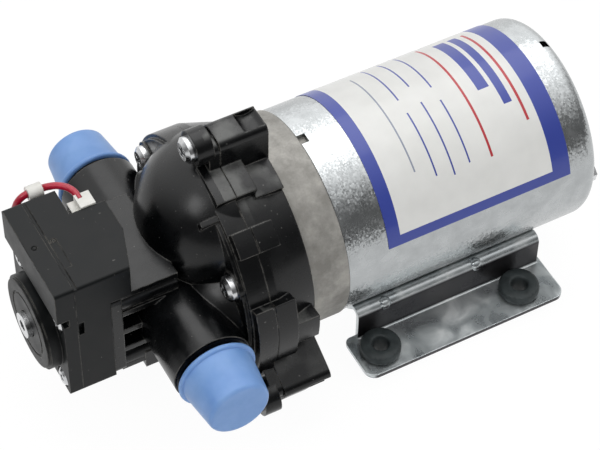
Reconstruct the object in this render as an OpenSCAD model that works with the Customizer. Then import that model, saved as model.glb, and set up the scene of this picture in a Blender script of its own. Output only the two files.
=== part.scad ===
// Caravan water pump: a three-chamber wobble-plate diaphragm pump on a pressed cradle base.
// Millimetres. X runs along the motor axis to the motor's rear, Z is up, and the near side is -Y.
// The origin is the centre of the four base holes, on the surface that the grommets stand on.
// Angles round the motor axis start at the top and grow towards the near side.

/* [Base] */
// Hole spacing along the motor
hole_dx = 56.8; // [50:0.1:62]
// Distance of the holes from the outer edge of a flange
hole_edge = 9.3; // [8.5:0.1:10]
// Length of the base
base_len = 80.3; // [76:0.1:86]
// How far the middle of the base lies behind the hole centre
base_shift = 2.4; // [0:0.1:4]
// Width of a flange, from the web to its outer edge
flange_w = 17.4; // [16:0.1:20]
// Width over the two webs
web_w = 66.8; // [65:0.1:68]
// Thickness of the sheet
sheet_t = 1.6; // [1.2:0.1:2]
// Corner radius of the flanges
flange_corner_r = 4; // [2:0.5:7]
// How far the webs start behind the front of the flanges
web_set = 4.8; // [0:0.1:8]
// Outer radius of the fold from web to cradle
fold_r = 3.2; // [2.8:0.1:4]
// Radius of the pressed pimples on the folds
pimple_r = 2.4; // [1.5:0.1:3]
// Height of the motor axis above the surface
axis_h = 44.4; // [44:0.1:46]

/* [Grommets] */
// Diameter of a grommet
grommet_d = 14.6; // [13:0.1:16]
// Height of a grommet
grommet_h = 11; // [10.5:0.1:13]
// Height of a grommet's foot, below the sheet
grommet_foot = 5.4; // [5:0.1:5.8]
// Diameter of a grommet's neck, in the sheet
grommet_neck_d = 10; // [8:0.1:11]
// Diameter of a grommet's hole
grommet_bore_d = 5.8; // [4.5:0.1:6.4]

/* [Motor] */
// Diameter of the motor can
can_d = 74.4; // [74:0.1:75]
// Length of the motor can
can_len = 99.9; // [97:0.1:105]
// Front end of the can, from the hole centre
can_front = -39.3; // [-41:0.1:-38.5]
// Wall of the can
can_wall = 1.6; // [1.2:0.1:2]
// Radius of the can's rear edge
can_edge_r = 5; // [4:0.1:6]
// How far the bearing cup stands out at the rear
cup_proud = 4.5; // [3:0.1:6]
// Front end of the label, from the front of the can
label_set = 15.4; // [10:0.1:20]
// Length of the label
label_len = 72.3; // [60:0.1:76]
// Half of the angle that the label wraps
label_half = 75; // [60:1:80]
// Diameter of the motor shaft
shaft_d = 8; // [7:0.1:9]
// Diameter of the armature stack
armature_d = 49; // [46:0.1:50]
// Length of the armature stack
armature_len = 40; // [34:0.5:42]
// Air gap between armature and magnets
air_gap = 0.8; // [0.5:0.05:1]
// Diameter of the commutator
commutator_d = 20; // [18:0.1:22]
// Outer diameter of the rear bush
bush_d = 16; // [14:0.1:18]
// Diameter of the through bolts
bolt_d = 4; // [3:0.1:4.5]
// Distance of the through bolts from the axis
bolt_r = 28.5; // [28.2:0.1:29]
// Angle of the through bolt that shows
bolt_angle = 100; // [90:1:110]

/* [Front end bell] */
// Length of the bell's outer ring
bell_len = 14.5; // [14:0.1:17]
// Diameter of the bell's outer ring
bell_d = 75.4; // [75:0.1:77]
// Outer diameter of the front bearing
bearing_d = 22; // [20:0.1:24]
// Width of the front bearing
bearing_w = 7; // [6:0.1:7.5]

/* [Pump head] */
// Length of the lower housing
drive_len = 17.8; // [17.3:0.1:20]
// Diameter of the lower housing next to the bell
drive_d = 77.6; // [77:0.1:80]
// Diameter of the two housings at their joint
rim_d = 87; // [86:0.1:90]
// Thickness of the upper housing's flange
flange_t = 9; // [8.8:0.1:11]
// Height of the raised pads round the rim
pad_h = 3.6; // [2:0.1:4]
// Distance of the lug screws from the axis
lug_r = 54; // [52:0.1:56]
// Width of a lug
lug_w = 12; // [11:0.1:14]
// Distance of the valley screws from the axis
valley_r = 37; // [36.8:0.1:38]
// Diameter of the head screws
head_screw_d = 4; // [3.5:0.1:4.4]
// Radius of the three bell domes
dome_r = 29; // [28:0.1:30]
// Wall of the domes
dome_wall = 3; // [2.5:0.1:3.5]
// Distance of the dome centres from the axis
dome_pitch = 18.5; // [17.5:0.1:19.5]
// How far the dome centres lie behind the joint
dome_sink = 2.2; // [1.5:0.1:3]
// Diameter of the pocket for the valve plate
pocket_d = 66; // [65:0.1:66.6]
// Wall of the outlet tube in the head
tube_wall = 3; // [2.5:0.1:4]
// Bore of the outlet tube
tube_bore_d = 16; // [15:0.1:17]
// Length from the joint to the switch
neck_len = 48; // [46:0.1:50]

/* [Ports] */
// Distance of the ports from the joint
port_set = 23.1; // [22:0.1:24]
// How far the ports lie below the motor axis
port_drop = 2.6; // [1:0.1:4]
// Diameter of the port thread
port_d = 20.6; // [20:0.1:20.8]
// Bore of a port
port_bore_d = 13; // [11:0.1:14]
// Distance between the two port ends
port_span = 111; // [108:0.1:113]
// Distance between the two port shoulders
port_shoulder_span = 88; // [84:0.1:90]
// Diameter of a port's root
port_root_d = 28.4; // [26:0.1:30]
// How far a cap's closed end lies beyond the port
cap_tip = 7.9; // [6:0.1:9]
// Gap between a cap's mouth and the port's shoulder
cap_gap = 2; // [1.6:0.1:3]
// Diameter of a cap's rim
cap_rim_d = 28.2; // [27:0.1:29]
// Wall of a cap
cap_wall = 0.8; // [0.7:0.05:1]

/* [Drive] */
// Tilt of the cam's seat, in degrees
tilt = 4; // [3:0.1:4.2]
// Distance of the pistons from the axis
piston_pitch = 18; // [17.6:0.1:18.4]
// Diameter of a piston
piston_d = 17.6; // [16:0.1:18]
// Thickness of the diaphragm
diaphragm_t = 1.5; // [1.2:0.1:1.6]
// Bore of the drive bearing
drive_bore_d = 17; // [16.5:0.1:17.5]
// Outer diameter of the drive bearing
drive_bearing_d = 31; // [30.5:0.1:32]
// Width of the drive bearing
drive_bearing_w = 6; // [5.5:0.1:6.2]

/* [Pressure switch] */
// Width of the switch
switch_w = 41.6; // [40:0.1:43]
// Height of the switch's lower box
switch_box_h = 40.3; // [39.5:0.1:42]
// Height of the switch's top box
switch_top_h = 13.8; // [13:0.1:15]
// How far the switch axis lies below the motor axis
switch_drop = 1; // [0:0.1:2]
// Bottom of the switch, below its axis
switch_low = 18.8; // [18.6:0.1:20]
// Length of the switch body
body_len = 12.2; // [12:0.1:14]
// Length of the switch cover
cover_len = 4.7; // [4.4:0.1:6]
// How far the round boss stands out of the cover
boss_proud = 5; // [4:0.1:6]
// Diameter of the round boss
boss_d = 34; // [30:0.1:35]
// How far the top lip stands out of the cover
lip_proud = 2.2; // [1:0.1:3]
// How far the top box reaches back over the neck
top_reach = 12.7; // [12:0.1:14]
// Distance between the corner screws, both ways
corner_pitch = 30; // [28:0.1:31]

/* [Lead] */
// Diameter of the lead
lead_d = 2.5; // [2:0.1:2.8]

/* [Fits] */
// Gap between pieces that are fixed to each other
fit = 0.05; // [0.02:0.01:0.08]
// Radial gap of a running fit
run = 0.05; // [0.02:0.01:0.09]
// Gap between pieces that move past each other
gap = 0.3; // [0.2:0.05:0.4]

/* [Hidden] */
$fn = 64;
far = 1;
near = -1;
eps = 0.01;
sectors = [0, 120, 240];

// Base
base_w = web_w + 2 * flange_w;
hole_dy = base_w - 2 * hole_edge;

// Motor
can_r = can_d / 2;
can_in_r = can_r - can_wall;
can_rear = can_front + can_len;
cup_r = bush_d / 2 + can_wall;
cup_floor = can_rear + cup_proud - can_wall;
shaft_r = shaft_d / 2;
armature_r = armature_d / 2;
armature_mid = can_front + 43.3;
armature_front = armature_mid - armature_len / 2;
armature_rear = armature_mid + armature_len / 2;
slot_count = 12;
slot_r = 3.2;
slot_pitch_r = armature_r - 6;
coil_t = 9;
coil_in_r = shaft_r + 5;
commutator_r = commutator_d / 2;
commutator_front = armature_rear + coil_t + 2;
commutator_len = 13;
brush_x = commutator_front + commutator_len / 2 + 1;
brush_l = 6;
brush_w = 5;
brush_out = commutator_r + 9;
holder_wall = 1.2;
holder_out = brush_out + 7;
card_t = 3;
bush_in_len = 3;
shaft_rear = cup_floor - 0.6;
bolt_head_r = 3.7;
bolt_head_t = 3.6;
magnet_over = 4;
magnet_half = 68;
notch_w = 4;
notch_len = 3;
slot_size = 3;
lead_angle = -115;
lead_x = can_rear - 10.6;

// Front end bell
bell_r = bell_d / 2;
bell_front = can_front - bell_len;
bell_plate_t = 4;
bell_ring_t = 4.7;
spigot_len = 3;
bearing_r = bearing_d / 2;
bearing_rear = bell_front + bell_plate_t + bearing_w + 1;
bearing_front = bearing_rear - bearing_w;

// Pump head stations along X
parting = bell_front - drive_len;
rim_front = parting - flange_t;
dome_x = parting + dome_sink;
port_x = parting - port_set;
port_z = axis_h - port_drop;
neck_front = parting - neck_len;
rim_r = rim_d / 2;
drive_r = drive_d / 2;
pocket_r = pocket_d / 2;
rear_plate_t = 3;
drive_floor = bell_front - rear_plate_t;
drive_cavity_r = pocket_r - 1;
cam_hole_r = drive_bore_d / 2 + 5;
lug_boss_t = 8;
lug_boss_r = 6.3;
lug_boss_front = parting - lug_boss_t;
lug_reach = 3.4;
lug_corner_r = 3;
valley_boss_front = rim_front - 0.6;
valley_boss_r = 5.6;
screw_r = head_screw_d / 2;
screw_head_r = screw_r + 2.6;
screw_head_t = 3;
screw_bite = 9;
pad_spans = [[3, 22], [35, 46], [70, 104], [124, 142]];

// Drive
wob_x = parting - diaphragm_t / 2;
seat_s = diaphragm_t / 2 + 0.25;
plate_s = seat_s + 1.6;
plate_rear_s = plate_s + 2.9;
bearing_s = plate_rear_s + 1.2;
bearing_rear_s = bearing_s + drive_bearing_w;
cam_front_s = bearing_s - 0.4;
shoulder_t = 1.5;
drive_bore_r = drive_bore_d / 2;
drive_out_r = drive_bearing_d / 2;
hub_wall = 3;
hub_r = drive_out_r + hub_wall;
piston_r = piston_d / 2;
piston_seat_r = piston_r + 0.7;
piston_t = 1.95;
piston_boss_r = 5;
piston_screw_r = 1.6;
piston_head_r = 3;
piston_head_t = 1.1;
diaphragm_hole_r = piston_seat_r + 1;
bead_r = 0.6;
shaft_front = wob_x + (cam_front_s + 0.4);
cam_hub_r = shaft_r + 3;
cam_hub_rear = bell_front - 0.8;

// Valves
plate_t = flange_t - diaphragm_t;
chamber_r = piston_seat_r + 1.5;
chamber_floor_r = piston_r + 1.2;
chamber_d = plate_t - 2.8;
valve_seat_d = 1.2;
valve_r = 4.5;
valve_t = 0.8;
valve_stem_r = 1.3;
valve_bulb_r = 1.9;
valve_lift = 0.4;
outlet_valve_r = 6;
outlet_valve_t = 1;
outlet_hole_r = 1.1;
outlet_hole_pitch = 4;
inlet_hole_pitch = 3;
inlet_hole_r = 0.8;
tube_in_r = tube_bore_d / 2;
tube_out_r = tube_in_r + tube_wall;
seal_r = 0.9;
seal_pitch_r = tube_in_r + tube_wall / 2;
seat_front = rim_front - 6;
seat_t = 2;
seat_hole_r = tube_in_r - 3;
poppet_r = tube_in_r - 1;
poppet_t = 2;
check_stop = port_x - 8;
check_stop_t = 3;
check_spring_r = 4.6;
check_spring_wire_r = 0.5;

// Ports and caps
port_r = port_d / 2;
port_bore_r = port_bore_d / 2;
port_end = port_span / 2;
port_shoulder = port_shoulder_span / 2;
port_wall_r = port_bore_r + 3;
port_relief_r = port_r - 0.5;
port_cone = 1.5;
thread_start = port_shoulder + port_cone + 2;
cap_end = port_end + cap_tip;
cap_mouth = port_shoulder + cap_gap;
cap_rim_t = 1.8;
cap_play = 0.85;
cap_in_r = port_r + cap_play;
cap_stop = port_end + 0.1;
cap_stop_r = port_r - 1;
cap_taper = 0.12;
cap_edge_r = 1.5;

// Pressure switch
switch_z = axis_h - switch_drop;
switch_bottom = switch_z - switch_low;
box_top = switch_bottom + switch_box_h;
switch_top = box_top + switch_top_h;
split_x = neck_front - body_len;
face_x = split_x - cover_len;
boss_front = face_x - boss_proud;
lip_front = face_x - lip_proud;
lip_drop = 0.3;
top_rear = neck_front + top_reach;
top_chamfer_x = 5.2;
top_chamfer_y = 15.9;
step_x = neck_front - 0.2;
step_y = 8.8;
body_wall = 2;
dia_recess_t = 1.2;
dia_recess_r = 15;
plunger_bore_r = 12;
plunger_r = plunger_bore_r - 0.5;
plunger_t = 3;
plunger_rear = neck_front - dia_recess_t - 0.1;
plunger_front = plunger_rear - plunger_t;
spring_cup_r = 8;
spring_cup_len = 2;
setting_r = 5.4;
setting_wire_r = 0.7;
seat_disc_t = 1.4;
cover_bore_r = 9;
cover_bore_front = face_x - 1.2;
seat_rear = cover_bore_front + 3.2;
adjust_r = 3;
adjust_head_r = 4.6;
adjust_head_t = 2.6;
adjust_recess = 1.2;
adjust_gap = 0.6;
adjust_proud = adjust_head_t - adjust_recess + adjust_gap;
corner_screw_r = 1.9;
corner_head_r = 3.4;
corner_head_t = 2.2;
corner_sink = 1.6;
corner_bite = 14;
arm_w = 4;
arm_t = 2;
arm_top = switch_top - 6.8;
arm_rear = plunger_rear - 0.8;
micro_front = arm_rear + 1.4;
micro_rear = top_rear - body_wall - 0.6;
micro_y0 = -11;
micro_y1 = step_y - body_wall - 0.3;
micro_z0 = box_top + 1.6;
micro_z1 = switch_top - body_wall - 0.3;
button_w = 3;
button_h = 2.4;
button_depth = 3.2;
blade_w = 4.8;
blade_t = 0.8;
blade_len = 5.2;
blade_x = top_rear - 6;
blade_gap_z = 6;
sleeve_x = blade_x - 2.6;
sleeve_len = 5.4;
sleeve_h = 4.4;
window_x = split_x + 0.4;
window_z = switch_bottom + 30.2;
window_h = 6;
window_l = 1.9;

// Lead: the route's own points, from the terminal sleeve to the inside of the motor
lead_r = lead_d / 2;
lead_exit_x = sleeve_x + 1.6;
lead_exit_y = step_y + blade_len + 0.9;
lead_z = switch_top - 0.6;
wire_sleeve_y = 25;
wire_sleeve_z = switch_top - 2.4;
wire_sleeve_front = neck_front - 8.2;
wire_sleeve_rear = neck_front - 3;
wire_sleeve_r = lead_r + 1.3;
sleeve_depth = 2;
lead_points = [
    [lead_exit_x, lead_exit_y - sleeve_depth, lead_z], [lead_exit_x, lead_exit_y + 0.4, lead_z],
    [neck_front + 4.6, 18.8, lead_z + 0.4], [neck_front + 2, 21.8, lead_z + 0.2], [neck_front - 1, 24, lead_z - 0.9],
    [wire_sleeve_rear + 0.4, wire_sleeve_y, wire_sleeve_z], [wire_sleeve_front - 0.4, wire_sleeve_y, wire_sleeve_z],
    [neck_front - 11, 25.2, switch_top - 4], [neck_front - 12.6, 25.6, switch_top - 7.5],
    [neck_front - 13.2, 26.2, switch_top - 13], [neck_front - 13, 27.5, 54], [neck_front - 12, 29.5, 42],
    [neck_front - 10.4, 32, 29], [-126.6, 35.4, 16.5], [-120.5, 39.2, 7.4], [-111, 43.2, 2.6], [-98, 47.4, 1.4],
    [-80, 51.6, 1.4], [-55, 56, 1.4], [-28, 58.5, 1.4], [0, 59.2, 1.4], [22, 58.8, 1.4], [33, 58, 2],
    [41.5, 56.4, 4.2], [47, 53.6, 9], [lead_x - 1, 49.8, axis_h - 28.5], [lead_x, 45.4, axis_h - 22.6],
    [lead_x, 40.8, axis_h - 19.02], [lead_x, 36.7, axis_h - 17.11], [lead_x, 29.9, axis_h - 13.94]];
lead_step = 6;
lead_sides = 8;

// Shared shapes

// Draws its children as at the top of the motor axis, turned to an angle round it
module around(a) translate([0, 0, axis_h]) rotate([a, 0, 0]) children();

// Draws its children along the cam's inclined seat, from the diaphragm's middle
module tilted() translate([wob_x, 0, axis_h]) rotate([0, tilt, 0]) children();

// Draws its children along the switch axis
module on_switch() translate([0, 0, switch_z]) children();

// Draws a near-side shape on either side
module on_side(side) mirror([0, side > 0 ? 1 : 0, 0]) children();

// Turns a profile's axis along a port, outwards on the near side
module along_port() translate([port_x, 0, port_z]) rotate([90, 0, 0]) children();

// A round bar along X
module rod(r, x0, x1) translate([x0, 0, 0]) rotate([0, 90, 0]) cylinder(r = r, h = x1 - x0);

// A ring round X
module ring(r0, r1, x0, x1) translate([x0, 0, 0]) rotate([0, 90, 0])
    rotate_extrude() translate([r0, 0]) square([r1 - r0, x1 - x0]);

// A part of a ring round the motor axis, between two angles
module ring_part(r0, r1, x0, x1, a0, a1) translate([x0, 0, axis_h]) rotate([0, 90, 0])
    rotate([0, 0, 180 + a0]) rotate_extrude(angle = a1 - a0) translate([r0, 0]) square([r1 - r0, x1 - x0]);

// A doughnut round X
module doughnut(r, section_r, x) translate([x, 0, 0]) rotate([0, 90, 0])
    rotate_extrude() translate([r, 0]) circle(section_r);

// A flat outline in Y and Z, drawn out along X
module slab(x0, x1) translate([x0, 0, 0]) rotate([90, 0, 90]) linear_extrude(x1 - x0) children();

// A bar along X whose rear edge is rounded
module drawn_cup(r, x0, x1, edge) translate([x0, 0, 0]) rotate([0, 90, 0]) rotate_extrude() {
    square([r - edge, x1 - x0]);
    square([r, x1 - x0 - edge]);
    translate([r - edge, x1 - x0 - edge]) circle(edge);
}

// A rectangle with round corners, from its middle
module round_rect(w, h, r) {
    square([w - 2 * r, h], center = true);
    square([w, h - 2 * r], center = true);
    for (y = [-1, 1], z = [-1, 1]) translate([y * (w / 2 - r), z * (h / 2 - r)]) circle(r);
}

// A screw along X with its head at the front and a cross recess
module screw(r, head_r, head_t, length) {
    difference() {
        union() {
            rod(r, 0, length);
            rod(head_r, -head_t * 0.6, 0);
            translate([-head_t * 0.6, 0, 0]) rotate([0, -90, 0])
                cylinder(r1 = head_r, r2 = head_r * 0.7, h = head_t * 0.4);
        }
        for (a = [0, 90]) rotate([a, 0, 0]) translate([-head_t - eps, -head_r * 0.5, -head_r * 0.12])
            cube([head_t * 0.5, head_r, head_r * 0.24]);
    }
}

// Ball bearing pieces, from the front face of the bearing
module race_inner(bore_r, ball_pitch_r, ball_r, w) difference() {
    ring(bore_r, ball_pitch_r - ball_r * 0.5, 0, w);
    doughnut(ball_pitch_r, ball_r + run, w / 2);
}
module race_outer(out_r, ball_pitch_r, ball_r, w) difference() {
    ring(ball_pitch_r + ball_r * 0.5, out_r, 0, w);
    doughnut(ball_pitch_r, ball_r + run, w / 2);
}
module race_balls(count, ball_pitch_r, ball_r, w)
    for (i = [0 : count - 1]) rotate([360 / count * i, 0, 0])
        translate([w / 2, 0, ball_pitch_r]) sphere(ball_r);

// Points of a smooth curve through hand-chosen points, about one step apart
function curve_point(a, b, c, d, t) =
    0.5 * ((2 * b) + (c - a) * t + (2 * a - 5 * b + 4 * c - d) * t * t + (3 * b - a - 3 * c + d) * t * t * t);
function curve(p, step) = let(n = len(p)) concat(
    [for (i = [0 : n - 2], k = [0 : max(1, round(norm(p[i + 1] - p[i]) / step)) - 1])
        curve_point(p[max(i - 1, 0)], p[i], p[i + 1], p[min(i + 2, n - 1)],
                    k / max(1, round(norm(p[i + 1] - p[i]) / step)))], [p[n - 1]]);
function unit(v) = v / norm(v);
function heading(p, i) = unit(p[min(i + 1, len(p) - 1)] - p[max(i - 1, 0)]);
function sides(p, i = 0, last = [0, 0, 1]) = i >= len(p) ? [] :
    let(h = heading(p, i), s = unit(last - h * (last * h))) concat([s], sides(p, i + 1, s));

// A round tube of flat facets that follows a list of points
module swept_tube(p, r, n) {
    side = sides(p);
    points = [for (i = [0 : len(p) - 1]) let(s = side[i], c = cross(heading(p, i), s))
        for (k = [0 : n - 1]) p[i] + r * (cos(360 * k / n) * s + sin(360 * k / n) * c)];
    walls = [for (i = [0 : len(p) - 2], k = [0 : n - 1]) let(a = i * n + k, b = i * n + (k + 1) % n)
        each [[a, a + n, b], [b, a + n, b + n]]];
    last = (len(p) - 1) * n;
    ends = [for (k = [1 : n - 2]) each [[0, k, k + 1], [last, last + k + 1, last + k]]];
    polyhedron(points, concat(walls, ends));
}

// A coil spring along X, with one flat turn at each end
module coil_spring(r, wire_r, x0, x1, turns) {
    per_turn = 10;
    count = turns * per_turn;
    run_len = x1 - x0 - 2 * wire_r;
    flat = 0.75 / turns;
    end_rise = wire_r * 2.3;
    p = [for (i = [0 : count])
        let(t = i / count, climb = min(max((t - flat) / (1 - 2 * flat), 0), 1))
        [x0 + wire_r + end_rise * (min(t, flat) + max(t - 1 + flat, 0)) / flat + (run_len - 2 * end_rise) * climb,
         r * cos(360 * turns * t), r * sin(360 * turns * t)]];
    swept_tube(p, wire_r, 6);
}

// Base and grommets

module flange_outline() {
    inner_r = 2.5;
    width = flange_w + sheet_t;
    half = base_len / 2;
    translate([0, -base_w / 2]) {
        translate([-half + flange_corner_r, 0]) square([base_len - 2 * flange_corner_r, width]);
        translate([-half, flange_corner_r]) square([base_len, width - flange_corner_r - inner_r]);
        translate([-half + inner_r, flange_corner_r]) square([base_len - inner_r, width - flange_corner_r]);
        for (x = [-1, 1]) translate([x * (half - flange_corner_r), flange_corner_r]) circle(flange_corner_r);
        translate([-half + inner_r, width - inner_r]) circle(inner_r);
    }
}

// Section of one web: flange bend, upright, and the fold that turns back under the can
module web_section(cradle_r, flange_z, fold_y, fold_z) {
    web_y = web_w / 2;
    bend = 0.8;
    difference() {
        union() {
            translate([-web_y, flange_z]) square([sheet_t, fold_z - flange_z]);
            translate([-web_y - bend, flange_z]) square([sheet_t + bend, sheet_t + bend]);
        }
        translate([-web_y - bend, flange_z + sheet_t + bend]) circle(bend);
        translate([-web_y - bend - 1, flange_z + sheet_t]) square([1, 4]);
    }
    intersection() {
        translate([fold_y, fold_z]) difference() {
            circle(fold_r);
            circle(fold_r - sheet_t);
        }
        translate([fold_y, fold_z]) polygon([[-2 * fold_r, 0], [0, 0],
            3 * [-fold_y, axis_h - fold_z] / cradle_r * fold_r, [-2 * fold_r, 3 * fold_r]]);
    }
}

module base_bracket() color("lightsteelblue") {
    cradle_r = can_r + fit;
    flange_z = grommet_foot;
    fold_y = fold_r - web_w / 2;
    fold_z = axis_h - sqrt(pow(cradle_r + fold_r, 2) - pow(fold_y, 2));
    x0 = base_shift - base_len / 2;
    x1 = x0 + base_len - 1.5;
    difference() {
        union() {
            // Cradle under the can, between the two folds
            slab(x0 + web_set, x1) intersection() {
                translate([0, axis_h]) difference() {
                    circle(cradle_r + sheet_t);
                    circle(cradle_r);
                }
                translate([0, axis_h])
                    polygon([[0, 0], 2 * [fold_y, fold_z - axis_h], 2 * [-fold_y, fold_z - axis_h]]);
            }
            for (side = [near, far]) on_side(side) {
                slab(x0 + web_set, x1) web_section(cradle_r, flange_z, fold_y, fold_z);
                translate([base_shift, 0, flange_z]) linear_extrude(sheet_t) flange_outline();
                // Pressed pimples
                for (x = [-21.8, 15.2]) translate([x, fold_y - fold_r * 0.7 + 0.8, fold_z + fold_r * 0.7 - 1])
                    sphere(pimple_r);
            }
        }
        for (x = [-1, 1], y = [-1, 1]) translate([x * hole_dx / 2, y * hole_dy / 2, flange_z - 1])
            cylinder(r = grommet_neck_d / 2 + fit, h = sheet_t + 2);
    }
}

module grommet(x, y) color([0.12, 0.12, 0.12]) translate([x * hole_dx / 2, y * hole_dy / 2, 0])
    rotate_extrude() {
        r = grommet_d / 2;
        bore = grommet_bore_d / 2;
        neck = grommet_neck_d / 2;
        edge = 1.2;
        top = grommet_foot + sheet_t + fit;
        polygon([[bore, 0], [neck, 0], [r - 0.4, grommet_foot - 1.8], [r - 0.4, grommet_foot - fit],
                 [neck, grommet_foot - fit], [neck, top], [r, top], [r, grommet_h - edge],
                 [r - edge * 0.3, grommet_h - edge * 0.3], [r - edge, grommet_h], [bore, grommet_h]]);
    }

// Motor

module at_bolts() for (a = [bolt_angle, bolt_angle + 180]) around(a) translate([0, 0, bolt_r]) children();

module motor_can() color("silver") difference() {
    union() {
        around(0) drawn_cup(can_r, can_front, can_rear, can_edge_r);
        around(0) drawn_cup(cup_r, can_rear - can_wall, can_rear + cup_proud, can_wall);
    }
    around(0) drawn_cup(can_in_r, can_front - 1, can_rear - can_wall, can_edge_r - can_wall);
    around(0) rod(bush_d / 2 + fit, can_rear - can_wall - 1, cup_floor);
    at_bolts() rod(bolt_d / 2 + gap, can_rear - can_wall - 1, can_rear + 1);
    // Locating notch in the front rim and slot in the rear edge
    around(0) translate([can_front - 1, -notch_w / 2, can_in_r - 2])
        cube([notch_len + 1, notch_w, can_wall + 4]);
    around(0) translate([can_rear - slot_size - 1.6, -slot_size / 2, can_in_r - 4])
        cube([slot_size, slot_size, 8]);
    around(lead_angle) translate([lead_x, 0, can_in_r - 3])
        cylinder(r = lead_r + 2 + fit, h = can_wall + 6);
}

module motor_label() color("white") {
    front = can_front + label_set;
    ring_part(can_r + fit, can_r + fit + 0.15, front, front + label_len, -label_half, label_half);
}

module front_end_bell() color("darkgray") {
    ring_in_r = bell_r - bell_ring_t;
    difference() {
        union() {
            around(0) drawn_cup(bell_r, bell_front, can_front - fit, 0.8);
            around(0) rod(can_in_r - fit, can_front - 1, can_front + spigot_len);
        }
        difference() {
            around(0) rod(ring_in_r, bell_front + bell_plate_t, can_front + spigot_len + 1);
            around(0) rod(bearing_r + 3.5, bell_front + bell_plate_t - 1, bearing_rear);
            at_bolts() rod(bolt_d / 2 + 3.4, bell_front + bell_plate_t - 1, can_front);
        }
        around(0) rod(bearing_r + fit, bearing_front, bearing_rear + 1);
        around(0) rod(cam_hub_r + 1, bell_front - 1, bearing_rear);
        at_bolts() rod(bolt_d / 2 + fit, bell_front + 1.5, can_front + 1);
        housing_screw_places() rod(screw_r + fit, bell_front - 1, bell_front + bell_plate_t + 1);
    }
}

module through_bolts() color("gainsboro") at_bolts() {
    rod(bolt_d / 2, bell_front + 2, can_rear + 1);
    slab(can_rear + eps, can_rear + bolt_head_t) circle(bolt_head_r, $fn = 6);
}

module magnets() color("dimgray") for (a = [bolt_angle - 90, bolt_angle + 90])
    ring_part(armature_r + air_gap, can_in_r - fit, armature_front - magnet_over, armature_rear + magnet_over,
              a - magnet_half, a + magnet_half);

module motor_shaft() color("gainsboro") around(0) rod(shaft_r, shaft_front, shaft_rear);

module slot_places() for (i = [0 : slot_count - 1])
    rotate(360 / slot_count * i) translate([slot_pitch_r, 0]) children();

module armature_stack() color("slategray") around(0) slab(armature_front, armature_rear) difference() {
    circle(armature_r);
    circle(shaft_r + fit);
    slot_places() {
        circle(slot_r);
        translate([0, -1]) square([armature_r - slot_pitch_r + 1, 2]);
    }
}

module armature_windings() color("peru") around(0) {
    slab(armature_front - 1, armature_rear + 1) slot_places() circle(slot_r - 2 * fit);
    for (x = [armature_front - coil_t, armature_rear]) translate([x, 0, 0]) rotate([0, 90, 0]) rotate_extrude()
        translate([(slot_pitch_r + slot_r + coil_in_r) / 2, coil_t / 2])
            round_rect(slot_pitch_r + slot_r - coil_in_r, coil_t, 3);
}

module commutator() color("goldenrod") around(0) difference() {
    union() {
        ring(shaft_r + fit, commutator_r, commutator_front, commutator_front + commutator_len);
        ring(shaft_r + fit, commutator_r + 1.6, commutator_front, commutator_front + 2);
    }
    for (i = [0 : slot_count - 1]) rotate([360 / slot_count * i, 0, 0])
        translate([commutator_front - 1, -0.3, commutator_r - 1]) cube([commutator_len + 2, 0.6, 4]);
}

module brush_card() color("saddlebrown") {
    w = brush_w + 2 * holder_wall;
    l = brush_l + 2 * holder_wall;
    difference() {
        union() {
            around(0) ring(commutator_r + 3, can_in_r - fit, brush_x - card_t / 2, brush_x + card_t / 2);
            for (a = [0, 180]) around(a) translate([brush_x - l / 2, -w / 2, commutator_r + 1.5])
                cube([l, w, holder_out - commutator_r - 1.5]);
        }
        for (a = [0, 180]) around(a) translate([brush_x - brush_l / 2 - fit, -brush_w / 2 - fit, commutator_r])
            cube([brush_l + 2 * fit, brush_w + 2 * fit, holder_out - holder_wall - commutator_r]);
        at_bolts() rod(bolt_d / 2 + gap, brush_x - card_t, brush_x + card_t);
    }
}

module brushes() color("black") for (a = [0, 180]) around(a) difference() {
    translate([brush_x - brush_l / 2, -brush_w / 2, commutator_r - 1])
        cube([brush_l, brush_w, brush_out - commutator_r + 1]);
    rod(commutator_r + run, brush_x - brush_l, brush_x + brush_l);
}

module brush_springs() color("gray") for (a = [0, 180]) around(a) translate([brush_x, 0, 0]) rotate([0, -90, 0])
    coil_spring(1.8, 0.3, brush_out + eps, holder_out - holder_wall - eps, 5);

module rear_bush() color("darkgoldenrod") around(0)
    ring(shaft_r + run, bush_d / 2, can_rear - can_wall - bush_in_len, cup_floor - fit);

module front_bearing(piece) around(0) translate([bearing_front, 0, 0]) {
    ball_r = (bearing_r - shaft_r) * 0.28;
    pitch = (bearing_r + shaft_r) / 2;
    if (piece == "outer") color("lightgray") race_outer(bearing_r, pitch, ball_r, bearing_w);
    if (piece == "inner") color("gainsboro") race_inner(shaft_r + fit, pitch, ball_r, bearing_w);
    if (piece == "balls") color("white") race_balls(8, pitch, ball_r, bearing_w);
}

module lead_grommet() color([0.1, 0.1, 0.1]) around(lead_angle) translate([lead_x, 0, 0]) rotate_extrude()
    difference() {
        union() {
            translate([0, can_in_r - 1.6]) square([lead_r + 2, can_wall + 4]);
            translate([0, can_r + fit]) square([lead_r + 3.4, 1.6]);
            translate([0, can_in_r - 2]) square([lead_r + 2.9, 1.5]);
        }
        translate([-eps, 0]) square([lead_r + 3 * fit + eps, can_d]);
    }

// Drive

module drive_cam() color("darkgray") difference() {
    union() {
        around(0) rod(cam_hub_r, wob_x + bearing_rear_s, cam_hub_rear);
        tilted() rod(drive_bore_r - fit, cam_front_s, bearing_rear_s + shoulder_t);
        tilted() rod(drive_bore_r + 1.6, bearing_rear_s, bearing_rear_s + shoulder_t);
    }
    around(0) rod(shaft_r + fit, wob_x, cam_hub_rear + 1);
}

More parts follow.
